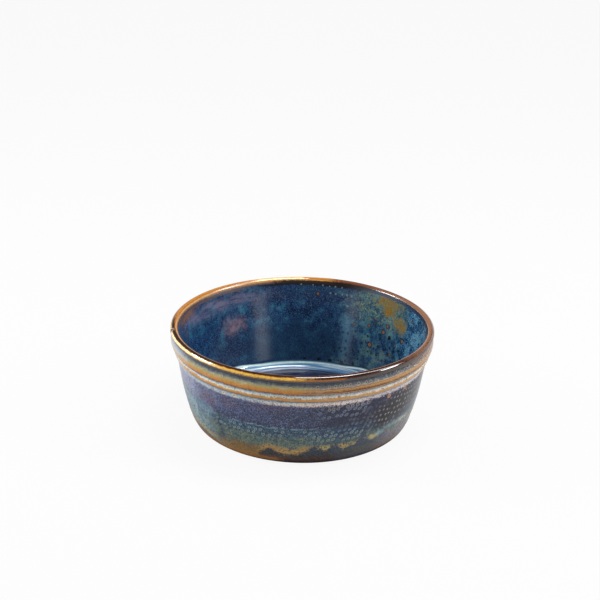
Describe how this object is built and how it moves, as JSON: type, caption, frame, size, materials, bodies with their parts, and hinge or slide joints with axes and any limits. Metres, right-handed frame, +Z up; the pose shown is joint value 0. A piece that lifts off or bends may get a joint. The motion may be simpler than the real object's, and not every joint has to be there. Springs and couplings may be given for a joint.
{
  "type": "pie dish",
  "caption": "Round individual pie dish in glazed stoneware: tapered wall, rolled amber lip over turned beads, blue reactive glaze, rounded heel and bare foot ring.",
  "frame": {"origin": "middle of the foot ring, on the plane that the dish stands on", "axes": "+Z up along the dish's turning axis; X and Y lie in the table, with no marked direction"},
  "size_m": [0.14, 0.14, 0.056],
  "materials": {
    "clay": "bare fired stoneware, matt",
    "inner_glaze": "deep blue reactive glaze, glossy",
    "rim_glaze": "amber glaze breaking to brown on the edge, glossy",
    "outer_glaze": "indigo and teal reactive glaze with amber and pale runs, glossy",
    "base_glaze": "thin slate-blue glaze, glossy"
  },
  "bodies": {
    "root": {"ceramic_body": "clay", "inner_glaze": "inner_glaze", "rim_glaze": "rim_glaze", "outer_glaze": "outer_glaze", "base_glaze": "base_glaze"}
  },
  "joints": []
}
